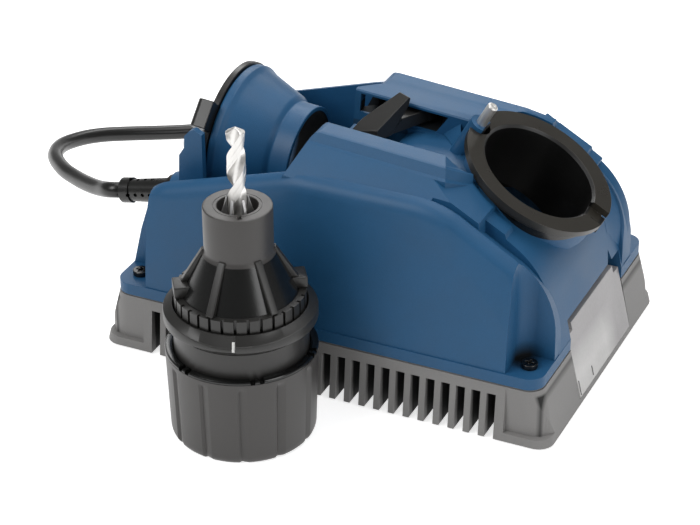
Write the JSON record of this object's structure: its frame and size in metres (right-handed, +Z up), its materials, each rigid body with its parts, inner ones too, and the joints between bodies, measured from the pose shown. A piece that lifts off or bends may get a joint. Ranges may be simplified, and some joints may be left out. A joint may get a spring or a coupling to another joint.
{
  "type": "drill bit sharpener",
  "caption": "Bench-top drill bit sharpener: moulded housing on a vented base with a sharpening port, alignment tube, stop lever, debris tray and a separate drill chuck.",
  "frame": {"origin": "on the bench, under the middle of the machine and the standing chuck together", "axes": "+X along the machine towards the sharpening port, +Y to its back, +Z up"},
  "size_m": [0.3132, 0.3251, 0.1445],
  "materials": {
    "blue_plastic": "fine textured moulding",
    "grey_plastic": "fine textured moulding",
    "black_plastic": "satin moulding",
    "knob_plastic": "satin moulding",
    "clear_plastic": "clear moulding",
    "foot_rubber": "dull",
    "cord_rubber": "satin",
    "bright_steel": "ground",
    "jaw_steel": "ground",
    "dark_steel": "black oxide",
    "can_steel": "plated",
    "core_iron": "laminated",
    "wheel_grit": "diamond grit",
    "plug_brass": "plated"
  },
  "bodies": {
    "machine": {"lower_base": "grey_plastic", "upper_housing": "blue_plastic", "housing_screws": "dark_steel", "rubber_feet": "foot_rubber", "sharpening_ring": "black_plastic", "cam_pin": "bright_steel", "alignment_tube": "blue_plastic", "lever_pin": "bright_steel", "motor_can": "can_steel", "motor_end_cap": "black_plastic", "motor_front_plate": "can_steel", "motor_cradle": "grey_plastic", "dust_partition": "grey_plastic", "front_bearing": "bright_steel", "rear_bearing": "bright_steel", "switch_body": "black_plastic", "strain_relief": "cord_rubber", "cord_run": "cord_rubber", "cord_coil": "cord_rubber", "coil_tie": "black_plastic", "plug_body": "cord_rubber", "plug_blades": "plug_brass"},
    "spindle": {"motor_shaft": "bright_steel", "rotor_core": "core_iron", "cooling_fan": "black_plastic", "grinding_wheel": "wheel_grit", "wheel_nut": "bright_steel"},
    "tray": {"debris_tray": "clear_plastic"},
    "lever": {"stop_lever": "black_plastic"},
    "dial": {"angle_ring": "black_plastic"},
    "rocker": {"switch_rocker": "black_plastic"},
    "chuck": {"chuck_shell": "black_plastic", "cam_collar": "black_plastic", "index_ring": "black_plastic", "jaw_carrier": "black_plastic"},
    "knob": {"chuck_knob": "knob_plastic", "knob_cap": "black_plastic"},
    "jaw_1": {"jaw_1": "jaw_steel"},
    "jaw_2": {"jaw_2": "jaw_steel"},
    "jaw_3": {"jaw_3": "jaw_steel"},
    "jaw_4": {"jaw_4": "jaw_steel"},
    "jaw_5": {"jaw_5": "jaw_steel"},
    "jaw_6": {"jaw_6": "jaw_steel"},
    "bit": {"drill_bit": "bright_steel"}
  },
  "joints": [
    {"name": "wheel_spin", "type": "hinge", "parent": "machine", "child": "spindle", "pos_m": [0, 0.03245, 0.027], "axis": [1, 0, 0], "continuous": true},
    {"name": "tray_slide", "type": "slide", "parent": "machine", "child": "tray", "axis": [1, 0, 0], "range_m": [0, 0.06]},
    {"name": "lever_swing", "type": "hinge", "parent": "machine", "child": "lever", "pos_m": [0.012, 0.05145, 0.1], "axis": [0, 0, 1], "range_deg": [0, 40]},
    {"name": "angle_turn", "type": "hinge", "parent": "machine", "child": "dial", "pos_m": [-0.072, 0.03245, 0.0798], "axis": [0.9966, 0, -0.0819], "range_deg": [-30, 0]},
    {"name": "switch_rock", "type": "hinge", "parent": "machine", "child": "rocker", "pos_m": [-0.062, 0.09445, 0.049], "axis": [1, 0, 0], "range_deg": [-22, 0]},
    {"name": "chuck_lift", "type": "slide", "parent": "machine", "child": "chuck", "axis": [0, 0, 1], "range_m": [0, 0.1]},
    {"name": "knob_turn", "type": "hinge", "parent": "chuck", "child": "knob", "pos_m": [-0.02, -0.07005, 0.02], "axis": [0, 0, 1], "range_deg": [0, 90]},
    {"name": "jaw_1_slide", "type": "slide", "parent": "chuck", "child": "jaw_1", "axis": [0.866, 0.5, 0], "range_m": [0, 0.002]},
    {"name": "jaw_2_slide", "type": "slide", "parent": "chuck", "child": "jaw_2", "axis": [0, 1, 0], "range_m": [0, 0.002]},
    {"name": "jaw_3_slide", "type": "slide", "parent": "chuck", "child": "jaw_3", "axis": [-0.866, 0.5, 0], "range_m": [0, 0.002]},
    {"name": "jaw_4_slide", "type": "slide", "parent": "chuck", "child": "jaw_4", "axis": [-0.866, -0.5, 0], "range_m": [0, 0.002]},
    {"name": "jaw_5_slide", "type": "slide", "parent": "chuck", "child": "jaw_5", "axis": [0, -1, 0], "range_m": [0, 0.002]},
    {"name": "jaw_6_slide", "type": "slide", "parent": "chuck", "child": "jaw_6", "axis": [0.866, -0.5, 0], "range_m": [0, 0.002]},
    {"name": "bit_pull", "type": "slide", "parent": "chuck", "child": "bit", "axis": [0, 0, 1], "range_m": [0, 0.08]}
  ],
  "couplings": [
    {"joint": "jaw_1_slide", "follows": "knob_turn", "m_per_rad": 0.00127},
    {"joint": "jaw_2_slide", "follows": "knob_turn", "m_per_rad": 0.00127},
    {"joint": "jaw_3_slide", "follows": "knob_turn", "m_per_rad": 0.00127},
    {"joint": "jaw_4_slide", "follows": "knob_turn", "m_per_rad": 0.00127},
    {"joint": "jaw_5_slide", "follows": "knob_turn", "m_per_rad": 0.00127},
    {"joint": "jaw_6_slide", "follows": "knob_turn", "m_per_rad": 0.00127}
  ]
}
